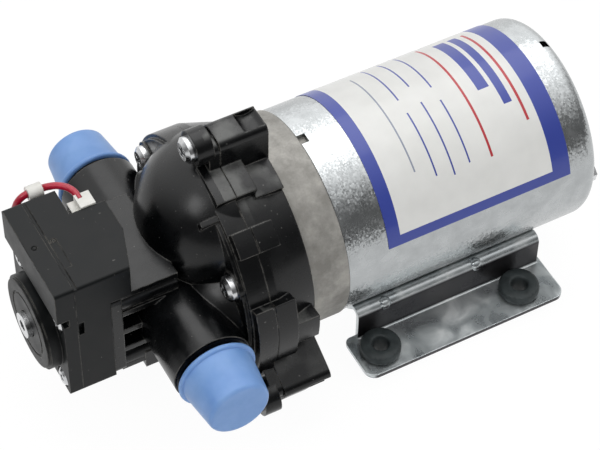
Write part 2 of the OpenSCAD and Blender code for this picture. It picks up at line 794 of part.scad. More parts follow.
module drive_bearing(piece) tilted() translate([bearing_s, 0, 0]) {
    ball_r = (drive_out_r - drive_bore_r) * 0.28;
    pitch = (drive_out_r + drive_bore_r) / 2;
    if (piece == "outer") color("lightgray") race_outer(drive_out_r, pitch, ball_r, drive_bearing_w);
    if (piece == "inner") color("gainsboro") race_inner(drive_bore_r, pitch, ball_r, drive_bearing_w);
    if (piece == "balls") color("white") race_balls(12, pitch, ball_r, drive_bearing_w);
}

module wobble_plate() color("whitesmoke") tilted() difference() {
    union() {
        rod(hub_r, plate_s, plate_rear_s);
        ring(drive_out_r + fit, hub_r, plate_rear_s - 1, bearing_rear_s);
        ring(drive_out_r - 1.2, hub_r, plate_rear_s - 1, bearing_s - fit);
        for (a = sectors) rotate([a, 0, 0]) {
            translate([0, 0, piston_pitch]) rod(piston_seat_r, seat_s, plate_rear_s);
            translate([plate_rear_s - 1, -2, drive_out_r + 1]) cube([5, 4, piston_pitch + 5 - drive_out_r]);
        }
    }
    for (a = sectors) rotate([a, 0, 0]) translate([0, 0, piston_pitch])
        rod(piston_screw_r + fit, seat_s - 1, plate_rear_s - 0.8);
}

module piston(a) color("gainsboro") tilted() rotate([a, 0, 0]) translate([0, 0, piston_pitch]) difference() {
    union() {
        rod(piston_r, -diaphragm_t / 2 - piston_t, -diaphragm_t / 2);
        rod(piston_boss_r, -diaphragm_t / 2 - 1, seat_s);
    }
    rod(piston_screw_r + 2 * fit, -piston_t - 2, seat_s + 1);
    rod(piston_head_r + gap, -piston_t - 2, -diaphragm_t / 2 - piston_t + piston_head_t);
}

module piston_screws() color("gainsboro") for (a = sectors) tilted() rotate([a, 0, 0])
    translate([-diaphragm_t / 2 - piston_t + piston_head_t, 0, piston_pitch])
        screw(piston_screw_r, piston_head_r, piston_head_t,
              plate_rear_s - 1 + diaphragm_t / 2 + piston_t - piston_head_t);

module at_chambers() for (a = sectors) around(a) translate([0, 0, piston_pitch]) children();

module diaphragm() color([0.15, 0.15, 0.15]) difference() {
    union() {
        around(0) rod(pocket_r - fit, parting - diaphragm_t, parting);
        at_chambers() doughnut(diaphragm_hole_r + 1, bead_r, parting - bead_r / 2);
    }
    at_chambers() rod(diaphragm_hole_r, parting - diaphragm_t - 1, parting + 2);
}

// Pump head

module lug_places() for (a = sectors) around(a) translate([0, 0, lug_r]) children();
module valley_places() for (a = sectors) around(a + 60) translate([0, 0, valley_r]) children();
module housing_screw_places() for (a = sectors) around(a + 30) translate([0, 0, drive_cavity_r - 6]) children();

// Outline of a lug from inside the rim to its tip
module lug_outline(top) translate([0, lug_r + top - (lug_r + top - drive_r + 6) / 2])
    round_rect(lug_w, lug_r + top - drive_r + 6, lug_corner_r);

// Raised pads round the near side of the rim, alike on both housings
module rim_pads(x0, x1) for (span = pad_spans) ring_part(rim_r - 4, rim_r + pad_h, x0, x1, span[0], span[1]);

module lower_housing() color([0.08, 0.08, 0.09]) difference() {
    union() {
        around(0) rod(rim_r, parting, parting + 3);
        translate([parting + 3 - eps, 0, axis_h]) rotate([0, 90, 0])
            cylinder(r1 = rim_r, r2 = drive_r, h = drive_len - 3 + eps);
        for (a = sectors) around(a) slab(parting, bell_front - 0.2) lug_outline(lug_reach);
        rim_pads(parting, parting + 7.4);
        // Low blocks between the pads and the bell
        ring_part(rim_r - 5, rim_r - 0.4, parting + 7, bell_front - 0.6, 4, 24);
        ring_part(rim_r - 5, rim_r + 2, parting + 7, bell_front - 1.6, 86, 100);
    }
    around(0) rod(drive_cavity_r, parting - 1, drive_floor);
    around(0) rod(cam_hole_r, parting, bell_front + 1);
    lug_places() rod(screw_r + fit, parting - 1, parting + screw_bite);
    valley_places() rod(screw_r + fit, parting - 1, parting + screw_bite);
    housing_screw_places() rod(screw_r + gap, drive_floor - 1, bell_front + 1);
    // Scooped pocket in the outer face of each lug
    for (a = sectors) around(a) translate([bell_front - 4, 0, lug_r + lug_reach + 3.4]) rotate([90, 0, 0])
        cylinder(r = 5.5, h = lug_w - 3.6, center = true);
}

module housing_screws() color("gainsboro") housing_screw_places()
    translate([drive_floor, 0, 0]) screw(screw_r, screw_head_r - 0.8, 2.4, rear_plate_t + bell_plate_t);

module valve_plate() color("ivory") {
    rear = parting - diaphragm_t;
    floor_x = rear - chamber_d;
    difference() {
        around(0) rod(pocket_r - 2 * fit, rim_front, rear);
        at_chambers() translate([floor_x, 0, 0]) rotate([0, 90, 0])
            cylinder(r1 = chamber_floor_r, r2 = chamber_r, h = chamber_d + eps);
        at_chambers() rod(valve_r + 0.5, floor_x - valve_seat_d, floor_x + 1);
        at_chambers() rod(valve_stem_r + fit, rim_front - 1, floor_x);
        at_chambers() for (i = [0 : 5]) rotate([60 * i, 0, 0]) translate([0, 0, inlet_hole_pitch])
            rod(inlet_hole_r, rim_front - 1, floor_x);
        // Outlet holes, one from each chamber to the middle
        for (a = sectors) around(a) translate([0, 0, outlet_hole_pitch])
            rod(outlet_hole_r, rim_front - 1, rear - 1.6);
        for (a = sectors) around(a) translate([rear - 1.6, 0, outlet_hole_pitch])
            cylinder(r = outlet_hole_r, h = piston_pitch - chamber_floor_r - outlet_hole_pitch + 2);
        around(0) rod(valve_stem_r + fit, rim_front - 1, rim_front + 3);
        around(0) ring(seal_pitch_r - seal_r - 0.1, seal_pitch_r + seal_r + 0.1,
                       rim_front - 1, rim_front + 2 * seal_r);
    }
}

// A rubber mushroom valve: a thin cap on a stem, with the cap's flat face at x = 0
module mushroom(cap_r, cap_t, stem_len) {
    rotate([0, 90, 0]) cylinder(r1 = cap_r, r2 = cap_r - 0.8, h = cap_t);
    rod(valve_stem_r, -stem_len, cap_t);
}

module inlet_valve(a) color("firebrick") around(a) {
    floor_x = parting - diaphragm_t - chamber_d - valve_seat_d;
    stem = floor_x - rim_front + 1;
    translate([0, 0, piston_pitch]) translate([floor_x, 0, 0]) {
        mushroom(valve_r, valve_t, stem + 1.4);
        rod(valve_bulb_r, -stem - 1.4, -stem + 0.6 - valve_lift);
    }
}

module outlet_valve() color("firebrick") around(0) translate([rim_front, 0, 0]) mirror([1, 0, 0])
    mushroom(outlet_valve_r, outlet_valve_t, 2.6);

module outlet_seal() color([0.1, 0.1, 0.1]) around(0) doughnut(seal_pitch_r, seal_r, rim_front + seal_r);

module port_body() {
    along_port() translate([0, 0, thread_start]) cylinder(r = port_r, h = port_end - thread_start);
    along_port() cylinder(r = port_relief_r, h = thread_start + 1);
    along_port() cylinder(r = port_root_d / 2, h = port_shoulder);
    along_port() translate([0, 0, port_shoulder - eps])
        cylinder(r1 = port_root_d / 2 - 1, r2 = port_relief_r, h = port_cone);
}

// Square ribbed neck that carries the switch
module neck() {
    fin_t = 2.2;
    fin_half = switch_w / 2 - 0.4;
    low = switch_bottom + 0.3;
    high = box_top - 0.3;
    slab(neck_front, neck_front + 4) translate([0, (low + high) / 2])
        round_rect(2 * fin_half, high - low, 3);
    for (i = [0 : 4]) translate([neck_front + 3, -fin_half + 1, low + (high - low - fin_t) / 4 * i])
        cube([port_x - neck_front - 3, 2 * fin_half - 2, fin_t]);
    for (y = [-1, 1], z = [-1, 1]) on_switch() translate([0, y * corner_pitch / 2, z * corner_pitch / 2])
        rod(corner_screw_r + 2.6, neck_front, port_x);
    // Small foot under the near side
    translate([neck_front + 11.5, -switch_w / 2 + 1, switch_bottom - 3]) cube([5, 8, 8]);
}

module upper_housing() color([0.08, 0.08, 0.09]) difference() {
    union() {
        around(0) rod(rim_r, rim_front + 1.4, parting);
        around(0) rod(rim_r - 1.4, rim_front, rim_front + 4);
        // Bell domes, cut off just before the joint
        intersection() {
            for (a = sectors) around(a) translate([dome_x, 0, dome_pitch]) sphere(dome_r);
            around(0) rod(rim_r + dome_r, parting - 2 * dome_r, parting - 0.3);
        }
        for (a = sectors) around(a) slab(lug_boss_front + 4, parting - 0.1) lug_outline(lug_reach - 1);
        lug_places() rod(lug_boss_r, lug_boss_front, parting - 2);
        valley_places() rod(valley_boss_r, valley_boss_front, rim_front + 2);
        rim_pads(rim_front + 1.8, parting - 0.2);
        // Thin rib on the top dome's near flank
        around(26) translate([rim_front - 5, -1, rim_r - 8]) cube([8, 2, 7.4]);
        for (side = [near, far]) on_side(side) port_body();
        neck();
        around(0) rod(tube_out_r, neck_front, rim_front);
    }
    around(0) rod(pocket_r, rim_front, parting + 1);
    // Inlet gallery under the domes, round the outlet tube and the outlet port's wall
    difference() {
        intersection() {
            for (a = sectors) around(a) translate([dome_x, 0, dome_pitch]) sphere(dome_r - dome_wall);
            around(0) rod(pocket_r, port_x + 2, rim_front + eps);
        }
        around(0) rod(tube_out_r, neck_front, rim_front + 1);
        on_side(far) along_port() cylinder(r = port_wall_r, h = port_end);
    }
    // Outlet tube with the check valve's seat and the spring's stop
    around(0) rod(tube_in_r, seat_front + seat_t, rim_front + 1);
    around(0) rod(seat_hole_r, seat_front - 1, rim_front);
    around(0) rod(tube_in_r, check_stop, seat_front);
    around(0) rod(check_spring_r - 1.2, neck_front - 1, check_stop + 1);
    around(0) rod(tube_in_r, neck_front - 1, check_stop - check_stop_t);
    // Port bores: the inlet opens into the gallery, the outlet into the tube
    on_side(near) along_port() translate([0, 0, tube_out_r + 1]) cylinder(r = port_bore_r, h = port_end);
    on_side(near) along_port() translate([port_bore_r - 3, 0, tube_out_r + 6]) rotate([0, 90, 0])
        cylinder(r = 4, h = rim_front - port_x - port_bore_r + 4);
    on_side(far) along_port() translate([0, 0, 1]) cylinder(r = port_bore_r - 1.5, h = port_end);
    on_side(far) along_port() translate([0, 0, tube_out_r + 1]) cylinder(r = port_bore_r, h = port_end);
    lug_places() rod(screw_r + gap, lug_boss_front - 1, parting + 1);
    valley_places() rod(screw_r + gap, valley_boss_front - 1, parting + 1);
    valley_places() rod(screw_head_r + 1, valley_boss_front - dome_r, valley_boss_front);
    corner_places() rod(corner_screw_r + fit, neck_front - 1, face_x + corner_sink + corner_bite + body_len + 3);
}

module check_valve() color("whitesmoke") around(0) {
    rod(poppet_r, seat_front - poppet_t - eps, seat_front - eps);
    rod(check_spring_r - check_spring_wire_r - 0.4, seat_front - poppet_t - 2, seat_front - 1);
    for (a = [0, 60, 120]) rotate([a, 0, 0])
        translate([seat_front - 1, -0.6, -seat_hole_r + gap])
            cube([seat_t + 2.2, 1.2, 2 * (seat_hole_r - gap)]);
}

module check_spring() color("gray") around(0)
    coil_spring(check_spring_r, check_spring_wire_r, check_stop + eps, seat_front - poppet_t - 2 * eps, 6);

module head_screws() color("gainsboro") {
    lug_places() translate([lug_boss_front, 0, 0])
        screw(screw_r, screw_head_r, screw_head_t, parting + screw_bite - 1 - lug_boss_front);
    valley_places() translate([valley_boss_front, 0, 0])
        screw(screw_r, screw_head_r, screw_head_t, parting + screw_bite - 1 - valley_boss_front);
}

module port_cap(side) color([0.42, 0.6, 0.85]) on_side(side) along_port() rotate_extrude() {
    end = cap_end - cap_wall;
    mouth_in_r = cap_in_r + (port_end - cap_mouth) * cap_taper;
    tip_r = cap_in_r - (end - port_end) * cap_taper + cap_wall;
    rim_half = cap_rim_t / 2;
    rim_r = max(cap_rim_d / 2, mouth_in_r + cap_wall + rim_half);
    polygon([[mouth_in_r, cap_mouth], [cap_in_r, cap_stop], [cap_stop_r, cap_stop], [cap_stop_r, end], [0, end],
             [0, cap_end], [tip_r - cap_edge_r, cap_end],
             for (a = [15 : 15 : 75]) [tip_r - cap_edge_r * (1 - sin(a)), cap_end - cap_edge_r * (1 - cos(a))],
             [tip_r, cap_end - cap_edge_r], [mouth_in_r + cap_wall - cap_rim_t * cap_taper, cap_mouth + cap_rim_t],
             for (a = [90 : -30 : -90])
                 [rim_r - rim_half + rim_half * cos(a), cap_mouth + rim_half + rim_half * sin(a)]]);
}

// Pressure switch

module corner_places() on_switch() for (y = [-1, 1], z = [-1, 1])
    translate([0, y * corner_pitch / 2, z * corner_pitch / 2]) children();

// Plan of the top box: square at the front, with a step for the terminals and an angled rear edge
module top_outline(front) polygon([
    [front, -switch_w / 2], [top_rear - top_chamfer_x, -switch_w / 2], [top_rear, -switch_w / 2 + top_chamfer_y],
    [top_rear, step_y], [step_x, step_y], [step_x, switch_w / 2], [front, switch_w / 2]]);

// A small moulded ring in the top of the switch
module top_ring(x) translate([x, 0.9, switch_top - 0.3]) linear_extrude(1) difference() {
    circle(1);
    circle(0.6);
}

module switch_body() color([0.16, 0.16, 0.16]) difference() {
    union() {
        slab(split_x, neck_front) translate([0, switch_bottom + switch_box_h / 2 + 2])
            round_rect(switch_w, switch_box_h + 4, 1.5);
        translate([0, 0, box_top]) linear_extrude(switch_top_h) top_outline(split_x);
    }
    on_switch() rod(dia_recess_r + fit, neck_front - dia_recess_t, neck_front + 1);
    on_switch() rod(plunger_bore_r, split_x - 1, neck_front);
    // Space for the microswitch, open to the cover
    translate([split_x - 1, -switch_w / 2 + body_wall, box_top + 1.4])
        cube([neck_front - split_x - 2, switch_w - 2 * body_wall, switch_top_h - 1.4 - body_wall]);
    translate([split_x, micro_y0 - 0.3, box_top + 1.4])
        cube([micro_rear + 0.3 - split_x, micro_y1 - micro_y0 + 0.6, switch_top_h - 1.4 - body_wall]);
    // Way for the plunger's arm
    translate([split_x - 1, -arm_w / 2 - 0.6, switch_z + plunger_bore_r - 2])
        cube([arm_rear + gap + 1 - split_x, arm_w + 1.2, arm_top - switch_z - plunger_bore_r + 3]);
    for (z = [0, 1]) blade_place(z) translate([-blade_w / 2 - fit, -4, -blade_t / 2 - fit])
        cube([blade_w + 2 * fit, blade_len + 6, blade_t + 2 * fit]);
    // Groove along the joint and shallow panel on the top
    translate([split_x - 1, -switch_w, switch_top - 0.5]) cube([2.2, 2 * switch_w, 1]);
    translate([split_x + 1, -11.2, switch_top - 0.3]) cube([2.8, 11.8, 1]);
    top_ring(split_x + 2.9);
    // Snap window on the near side
    translate([window_x, -switch_w / 2 - 1, window_z]) cube([window_l, 3, window_h]);
    corner_places() rod(corner_screw_r + gap, split_x - 1, neck_front + 1);
}

module switch_cover() color([0.16, 0.16, 0.16]) difference() {
    union() {
        slab(face_x, split_x) translate([0, switch_bottom + switch_box_h / 2 + 2])
            round_rect(switch_w, switch_box_h + 4, 1.5);
        translate([lip_front, -switch_w / 2, box_top - lip_drop])
            cube([split_x - lip_front, switch_w, switch_top_h + lip_drop]);
        on_switch() rod(boss_d / 2, boss_front + 1, face_x + 1);
        on_switch() rod(boss_d / 2 - 1, boss_front, face_x + 1);
    }
    on_switch() rod(cover_bore_r, cover_bore_front, split_x + 1);
    on_switch() rod(adjust_r + run, boss_front - 1, split_x);
    on_switch() rod(adjust_head_r + gap, boss_front - 1, boss_front + adjust_recess);
    // Shallow ring in the boss, slot under the lip, and hollow of the top box
    on_switch() ring(boss_d / 2 - 6, boss_d / 2 - 5, boss_front - 1, boss_front + 0.4);
    translate([lip_front - 1, -switch_w, box_top - lip_drop - 3.4]) cube([lip_proud + 3, 2 * switch_w, 3.4]);
    translate([face_x + 1.6, -switch_w / 2 + body_wall, box_top + 1.4])
        cube([cover_len, switch_w - 2 * body_wall, switch_top_h - 1.4 - body_wall]);
    top_ring(split_x - 4);
    // Seats for the corner screws, open to the outside
    corner_places() rod(corner_screw_r + gap, face_x - 1, split_x + 1);
    corner_places() rod(corner_head_r + 0.5, boss_front - 1, face_x + corner_sink);
}

module switch_screws() color("gainsboro") corner_places() translate([face_x + corner_sink, 0, 0])
    screw(corner_screw_r, corner_head_r, corner_head_t, corner_bite + body_len);

module switch_diaphragm() color([0.12, 0.12, 0.12]) on_switch()
    rod(dia_recess_r, neck_front - dia_recess_t, neck_front);

module switch_plunger() color("whitesmoke") on_switch() {
    rod(plunger_r, plunger_front, plunger_rear);
    ring(spring_cup_r - 1.2, spring_cup_r, plunger_front - spring_cup_len, plunger_front + eps);
    translate([arm_rear - arm_t, -arm_w / 2, 0]) cube([arm_t, arm_w, arm_top - switch_z]);
}

module setting_spring() color("gray") on_switch()
    coil_spring(setting_r, setting_wire_r, seat_rear + eps, plunger_front - eps, 5);

module spring_seat() color("gainsboro") on_switch() {
    rod(setting_r + setting_wire_r + 0.8, seat_rear - seat_disc_t, seat_rear);
    rod(setting_r - setting_wire_r - 0.5, seat_rear - seat_disc_t, seat_rear + 1.4);
}

module adjusting_screw() color("gainsboro") on_switch() difference() {
    union() {
        rod(adjust_r, boss_front - adjust_proud + 1, seat_rear - seat_disc_t - eps);
        rod(adjust_head_r, boss_front - adjust_proud, boss_front - adjust_proud + adjust_head_t);
    }
    slab(boss_front - adjust_proud - 1, boss_front - adjust_proud + 2) circle(2.2, $fn = 6);
}

module microswitch() color([0.25, 0.25, 0.27]) difference() {
    translate([micro_front, micro_y0, micro_z0])
        cube([micro_rear - micro_front, micro_y1 - micro_y0, micro_z1 - micro_z0]);
    button_place() translate([-1, -button_w / 2 - run, -button_h / 2 - run])
        cube([button_depth + 1.4, button_w + 2 * run, button_h + 2 * run]);
    for (z = [0, 1]) blade_place(z) translate([-blade_w / 2 - fit, -4, -blade_t / 2 - fit])
        cube([blade_w + 2 * fit, 6, blade_t + 2 * fit]);
}

module button_place() translate([micro_front, 0, arm_top - 2.4]) children();

module microswitch_button() color("firebrick") button_place()
    translate([arm_rear + eps - micro_front, -button_w / 2, -button_h / 2])
        cube([button_depth + micro_front - arm_rear, button_w, button_h]);

// Middle of each spade blade at the step's wall; the upper one takes the sleeve
module blade_place(i) translate([blade_x, step_y, switch_top - 3 - blade_gap_z * i]) children();

module terminals() color("goldenrod") for (i = [0, 1]) blade_place(i)
    translate([-blade_w / 2, -3.8, -blade_t / 2]) cube([blade_w, blade_len + 3.8, blade_t]);

module terminal_sleeve() color("ivory") difference() {
    union() {
        translate([sleeve_x, step_y + 0.1, switch_top - 3 - sleeve_h / 2 - 0.4])
            cube([sleeve_len, blade_len + 0.8, sleeve_h + 1.8]);
        translate([sleeve_x - 2.6, step_y + 0.1, switch_top - 3 - sleeve_h / 2 - 0.4])
            cube([4, blade_len + 0.8, sleeve_h - 0.8]);
    }
    blade_place(0) translate([-blade_w / 2 - fit, -1, -blade_t / 2 - fit])
        cube([blade_w + 2 * fit, blade_len + 1 + fit, blade_t + 2 * fit]);
    translate([lead_exit_x, lead_exit_y + 1, lead_z]) rotate([90, 0, 0])
        cylinder(r = lead_r + 3 * fit, h = sleeve_depth + 1);
}

module wire_sleeve() color("ivory") translate([0, wire_sleeve_y, wire_sleeve_z])
    ring(lead_r + 3 * fit, wire_sleeve_r, wire_sleeve_front, wire_sleeve_rear);

module red_lead() color("crimson") swept_tube(curve(lead_points, lead_step), lead_r, lead_sides);

base_bracket();
grommet(-1, near);  // grommet_front_near
grommet(-1, far);  // grommet_front_far
grommet(1, near);  // grommet_rear_near
grommet(1, far);  // grommet_rear_far
motor_can();
motor_label();
front_end_bell();
through_bolts();
magnets();
motor_shaft();
armature_stack();
armature_windings();
commutator();
brush_card();
brushes();
brush_springs();
rear_bush();
front_bearing("outer");  // front_bearing_outer
front_bearing("inner");  // front_bearing_inner
front_bearing("balls");  // front_bearing_balls
lead_grommet();
drive_cam();
drive_bearing("inner");  // drive_bearing_inner
drive_bearing("outer");  // drive_bearing_outer
drive_bearing("balls");  // drive_bearing_balls
wobble_plate();
piston(0);  // piston_top
piston(120);  // piston_near
piston(240);  // piston_far
piston_screws();
lower_housing();
housing_screws();
diaphragm();
valve_plate();
inlet_valve(0);  // inlet_valve_top
inlet_valve(120);  // inlet_valve_near
inlet_valve(240);  // inlet_valve_far
outlet_valve();
outlet_seal();
upper_housing();
check_valve();
check_spring();
head_screws();
port_cap(near);  // port_cap_near
port_cap(far);  // port_cap_far
switch_diaphragm();
switch_body();
switch_cover();
switch_plunger();
setting_spring();
spring_seat();
adjusting_screw();
microswitch();
microswitch_button();
terminals();
switch_screws();
terminal_sleeve();
wire_sleeve();
red_lead();
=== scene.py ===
"""Looks of a caravan water pump: finishes for its solids, the red lead, and the studio round it."""

import math

import bmesh
import bpy
from mathutils import Matrix, Vector


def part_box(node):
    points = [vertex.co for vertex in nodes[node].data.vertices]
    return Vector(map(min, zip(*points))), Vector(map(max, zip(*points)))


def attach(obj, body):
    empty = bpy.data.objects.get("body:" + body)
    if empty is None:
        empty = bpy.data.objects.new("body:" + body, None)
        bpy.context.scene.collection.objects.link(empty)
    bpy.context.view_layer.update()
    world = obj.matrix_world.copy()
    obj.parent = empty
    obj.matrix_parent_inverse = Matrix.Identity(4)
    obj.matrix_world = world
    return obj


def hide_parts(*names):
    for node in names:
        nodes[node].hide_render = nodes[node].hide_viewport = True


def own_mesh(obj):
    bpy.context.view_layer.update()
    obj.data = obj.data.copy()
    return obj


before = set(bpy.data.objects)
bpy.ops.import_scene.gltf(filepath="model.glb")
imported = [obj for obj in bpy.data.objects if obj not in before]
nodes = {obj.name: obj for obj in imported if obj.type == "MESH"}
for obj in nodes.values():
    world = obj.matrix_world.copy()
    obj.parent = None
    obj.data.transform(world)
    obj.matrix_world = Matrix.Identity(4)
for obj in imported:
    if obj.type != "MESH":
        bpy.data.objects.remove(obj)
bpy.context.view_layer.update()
bpy.ops.object.select_all(action="DESELECT")

MM = 0.001

# Turns between two faces: shaded smooth below the first two, a rim above the third, flat below the last
SMOOTH_WOUND = math.radians(40)
SMOOTH_MOULDED = math.radians(32)
RIM_TURN = math.radians(50)
FLAT_TURN = math.radians(0.5)


# Camera: azimuth, elevation and roll in degrees, its place, and lens and sensor in millimetres
CAMERA_TURN = (-29.18, 50.27, 1.03)
CAMERA_PLACE = Vector((-294.3, -458.4, 668.4)) * MM
CAMERA_LENS = 141.235
CAMERA_SENSOR = 36


def place_camera():
    """The photograph's long lens, high on the head's near side."""
    azimuth, elevation, roll = (math.radians(angle) for angle in CAMERA_TURN)
    flat = math.cos(elevation)
    back = Vector((math.sin(azimuth) * flat, -math.cos(azimuth) * flat, math.sin(elevation)))
    level = Vector((0, 0, 1)).cross(back).normalized()
    upright = back.cross(level)
    right = math.cos(roll) * level + math.sin(roll) * upright
    up = math.cos(roll) * upright - math.sin(roll) * level
    data = bpy.data.cameras.new("camera")
    data.lens = CAMERA_LENS
    data.sensor_width = CAMERA_SENSOR
    data.sensor_fit = "HORIZONTAL"
    camera = bpy.data.objects.new("camera", data)
    bpy.context.scene.collection.objects.link(camera)
    pose = Matrix((right, up, back)).transposed().to_4x4()
    pose.translation = CAMERA_PLACE
    camera.matrix_world = pose
    bpy.context.scene.camera = camera


# The lead's route in millimetres, the same points as in the part's source
LEAD_D = 2.5 * MM
LEAD_ROUTE = [
    (-113.9, 12.9, 78.1), (-113.9, 15.3, 78.1), (-115, 18.8, 78.5), (-117.6, 21.8, 78.3),
    (-120.6, 24, 77.2), (-122.2, 25, 76.3), (-128.2, 25, 76.3), (-130.6, 25.2, 74.7),
    (-132.2, 25.6, 71.2), (-132.8, 26.2, 65.7), (-132.6, 27.5, 54), (-131.6, 29.5, 42),
    (-130, 32, 29), (-126.6, 35.4, 16.5), (-120.5, 39.2, 7.4), (-111, 43.2, 2.6),
    (-98, 47.4, 1.4), (-80, 51.6, 1.4), (-55, 56, 1.4), (-28, 58.5, 1.4),
    (0, 59.2, 1.4), (22, 58.8, 1.4), (33, 58, 2), (41.5, 56.4, 4.2),
    (47, 53.6, 9), (49, 49.8, 15.9), (50, 45.4, 21.8), (50, 40.8, 25.38),
    (50, 36.7, 27.29), (50, 29.9, 30.46)]


def lay_lead(finish):
    """One insulated wire from the switch's terminal down behind the pump and into the motor."""
    data = bpy.data.curves.new("lead", "CURVE")
    data.dimensions = "3D"
    data.bevel_depth = LEAD_D / 2
    data.bevel_resolution = 5
    data.resolution_u = 10
    data.use_fill_caps = True
    spline = data.splines.new("BEZIER")
    spline.bezier_points.add(len(LEAD_ROUTE) - 1)
    for knot, place in zip(spline.bezier_points, LEAD_ROUTE):
        knot.co = Vector(place) * MM
        knot.handle_left_type = knot.handle_right_type = "AUTO"
    lead = bpy.data.objects.new("lead", data)
    bpy.context.scene.collection.objects.link(lead)
    data.materials.append(finish)
    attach(lead, "pump")
    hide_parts("red_lead")


# Half-inch pipe thread on each port, its crest just over the plain wall: radii, pitch and place
PORT_X = -94.7 * MM
PORT_Z = 41.8 * MM
THREAD_ROOT = 10.1 * MM
THREAD_CREST = 10.6 * MM
THREAD_PITCH = 1.814 * MM
THREAD_START = 48.8 * MM
THREAD_TURNS = 3
THREAD_STEPS = 64
THREAD_FILL = 0.9


def cut_thread(name, side, finish):
    """One helical ridge round a port: a small wedge profile wound up the port's axis."""
    root = (THREAD_ROOT, 0, 0)
    half_pitch = 0.5 * THREAD_PITCH
    bpy.ops.object.select_all(action="DESELECT")
    bpy.ops.mesh.primitive_circle_add(vertices=4, radius=half_pitch, fill_type="NGON", location=root)
    ridge = bpy.context.object
    ridge.name = name
    bpy.ops.object.mode_set(mode="EDIT")
    bpy.ops.mesh.select_all(action="SELECT")
    bpy.ops.transform.resize(value=((THREAD_CREST - THREAD_ROOT) / half_pitch, THREAD_FILL, 1),
                             center_override=root)
    bpy.ops.mesh.delete(type="ONLY_FACE")
    bpy.ops.object.mode_set(mode="OBJECT")
    bpy.ops.object.transform_apply(location=True, rotation=True, scale=True)
    winding = ridge.modifiers.new("winding", "SCREW")
    winding.axis = "Y"
    winding.screw_offset = side * THREAD_PITCH
    winding.iterations = THREAD_TURNS
    winding.steps = winding.render_steps = THREAD_STEPS
    winding.use_merge_vertices = False
    bpy.ops.object.modifier_apply(modifier="winding")
    ridge.location = (PORT_X, side * THREAD_START, PORT_Z)
    bpy.ops.object.transform_apply(location=True, rotation=True, scale=True)
    # Close both ends of the wound profile
    bpy.ops.object.mode_set(mode="EDIT")
    bpy.ops.mesh.select_all(action="DESELECT")
    bpy.ops.mesh.select_non_manifold()
    bpy.ops.mesh.edge_face_add()
    bpy.ops.mesh.select_all(action="SELECT")
    bpy.ops.mesh.normals_make_consistent(inside=False)
    bpy.ops.object.mode_set(mode="OBJECT")
    bpy.ops.object.shade_smooth_by_angle(angle=SMOOTH_WOUND)
    ridge.data.materials.append(finish)
    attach(ridge, "pump")


# Copies of nodes with what their solids leave plain: round rubber rims, round switch corners, and
# springs in pieces of their own. The block that rounds the switch clears its ends, and its sides by a hair.
GROMMET_ROUND = 1.0 * MM
SWITCH_NODES = ("switch_body", "switch_cover")
SWITCH_ROUND = 1.2 * MM
SWITCH_SPARE = Vector((1.0, 0.01, 0.01)) * MM
NODE_MERGE = 0.002 * MM
CUT_MERGE = 0.0001 * MM


def copy_node(name, node, finish):
    """A merged copy of a CAD node's mesh, active and in edit mode with all of it selected."""
    bpy.ops.object.select_all(action="DESELECT")
    piece = bpy.data.objects.new(name, nodes[node].data.copy())
    bpy.context.scene.collection.objects.link(piece)
    piece.data.materials.clear()
    piece.data.materials.append(finish)
    bpy.context.view_layer.objects.active = piece
    piece.select_set(True)
    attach(piece, "pump")
    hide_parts(node)
    bpy.ops.object.mode_set(mode="EDIT")
    bpy.ops.mesh.select_mode(type="EDGE")
    bpy.ops.mesh.select_all(action="SELECT")
    bpy.ops.mesh.remove_doubles(threshold=NODE_MERGE)
    return piece


def round_grommet(node, finish):
    """A grommet with its rims rounded, as moulded rubber has them."""
    piece = copy_node(node + "_rounded", node, finish)
    bpy.ops.mesh.dissolve_limited(angle_limit=FLAT_TURN)
    bpy.ops.mesh.select_all(action="DESELECT")
    shape = bmesh.from_edit_mesh(piece.data)
    for edge in shape.edges:
        edge.select_set(edge.is_convex and edge.calc_face_angle() > RIM_TURN)
    bmesh.update_edit_mesh(piece.data)
    bpy.ops.mesh.bevel(offset=GROMMET_ROUND, segments=4, profile=0.5, clamp_overlap=False)
    bpy.ops.object.mode_set(mode="OBJECT")
    bpy.ops.object.shade_smooth_by_angle(angle=SMOOTH_MOULDED)


def round_switch(finish):
    """The switch's body and cover with the box's four long corners rounded, cut by one block for both."""
    boxes = [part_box(node) for node in SWITCH_NODES]
    low = Vector([min(box[0][i] for box in boxes) for i in range(3)]) - SWITCH_SPARE
    high = Vector([max(box[1][i] for box in boxes) for i in range(3)]) + SWITCH_SPARE
    bpy.ops.object.select_all(action="DESELECT")
    bpy.ops.mesh.primitive_cube_add(size=1, location=(low + high) / 2)
    block = bpy.context.object
    block.scale = high - low
    bpy.ops.object.transform_apply(location=True, rotation=True, scale=True)
    bpy.ops.object.mode_set(mode="EDIT")
    bpy.ops.mesh.select_mode(type="EDGE")
    bpy.ops.mesh.select_all(action="DESELECT")
    shape = bmesh.from_edit_mesh(block.data)
    for edge in shape.edges:
        edge.select_set(abs(edge.verts[0].co.x - edge.verts[1].co.x) > SWITCH_ROUND)
    bmesh.update_edit_mesh(block.data)
    bpy.ops.mesh.bevel(offset=SWITCH_ROUND, segments=6, profile=0.5)
    bpy.ops.object.mode_set(mode="OBJECT")
    for node in SWITCH_NODES:
        piece = copy_node(node + "_rounded", node, finish)
        bpy.ops.object.mode_set(mode="OBJECT")
        corners = piece.modifiers.new("corners", "BOOLEAN")
        corners.operation = "INTERSECT"
        corners.solver = "EXACT"
        corners.object = block
        bpy.ops.object.modifier_apply(modifier="corners")
        # The cut leaves the node's old normals askew, so they are made afresh with flat faces kept flat
        bpy.ops.mesh.customdata_custom_splitnormals_clear()
        bpy.ops.object.shade_smooth_by_angle(angle=SMOOTH_MOULDED)
        flat = piece.modifiers.new("flat_faces", "WEIGHTED_NORMAL")
        flat.keep_sharp = True
        bpy.ops.object.modifier_apply(modifier="flat_faces")
    bpy.data.objects.remove(block)


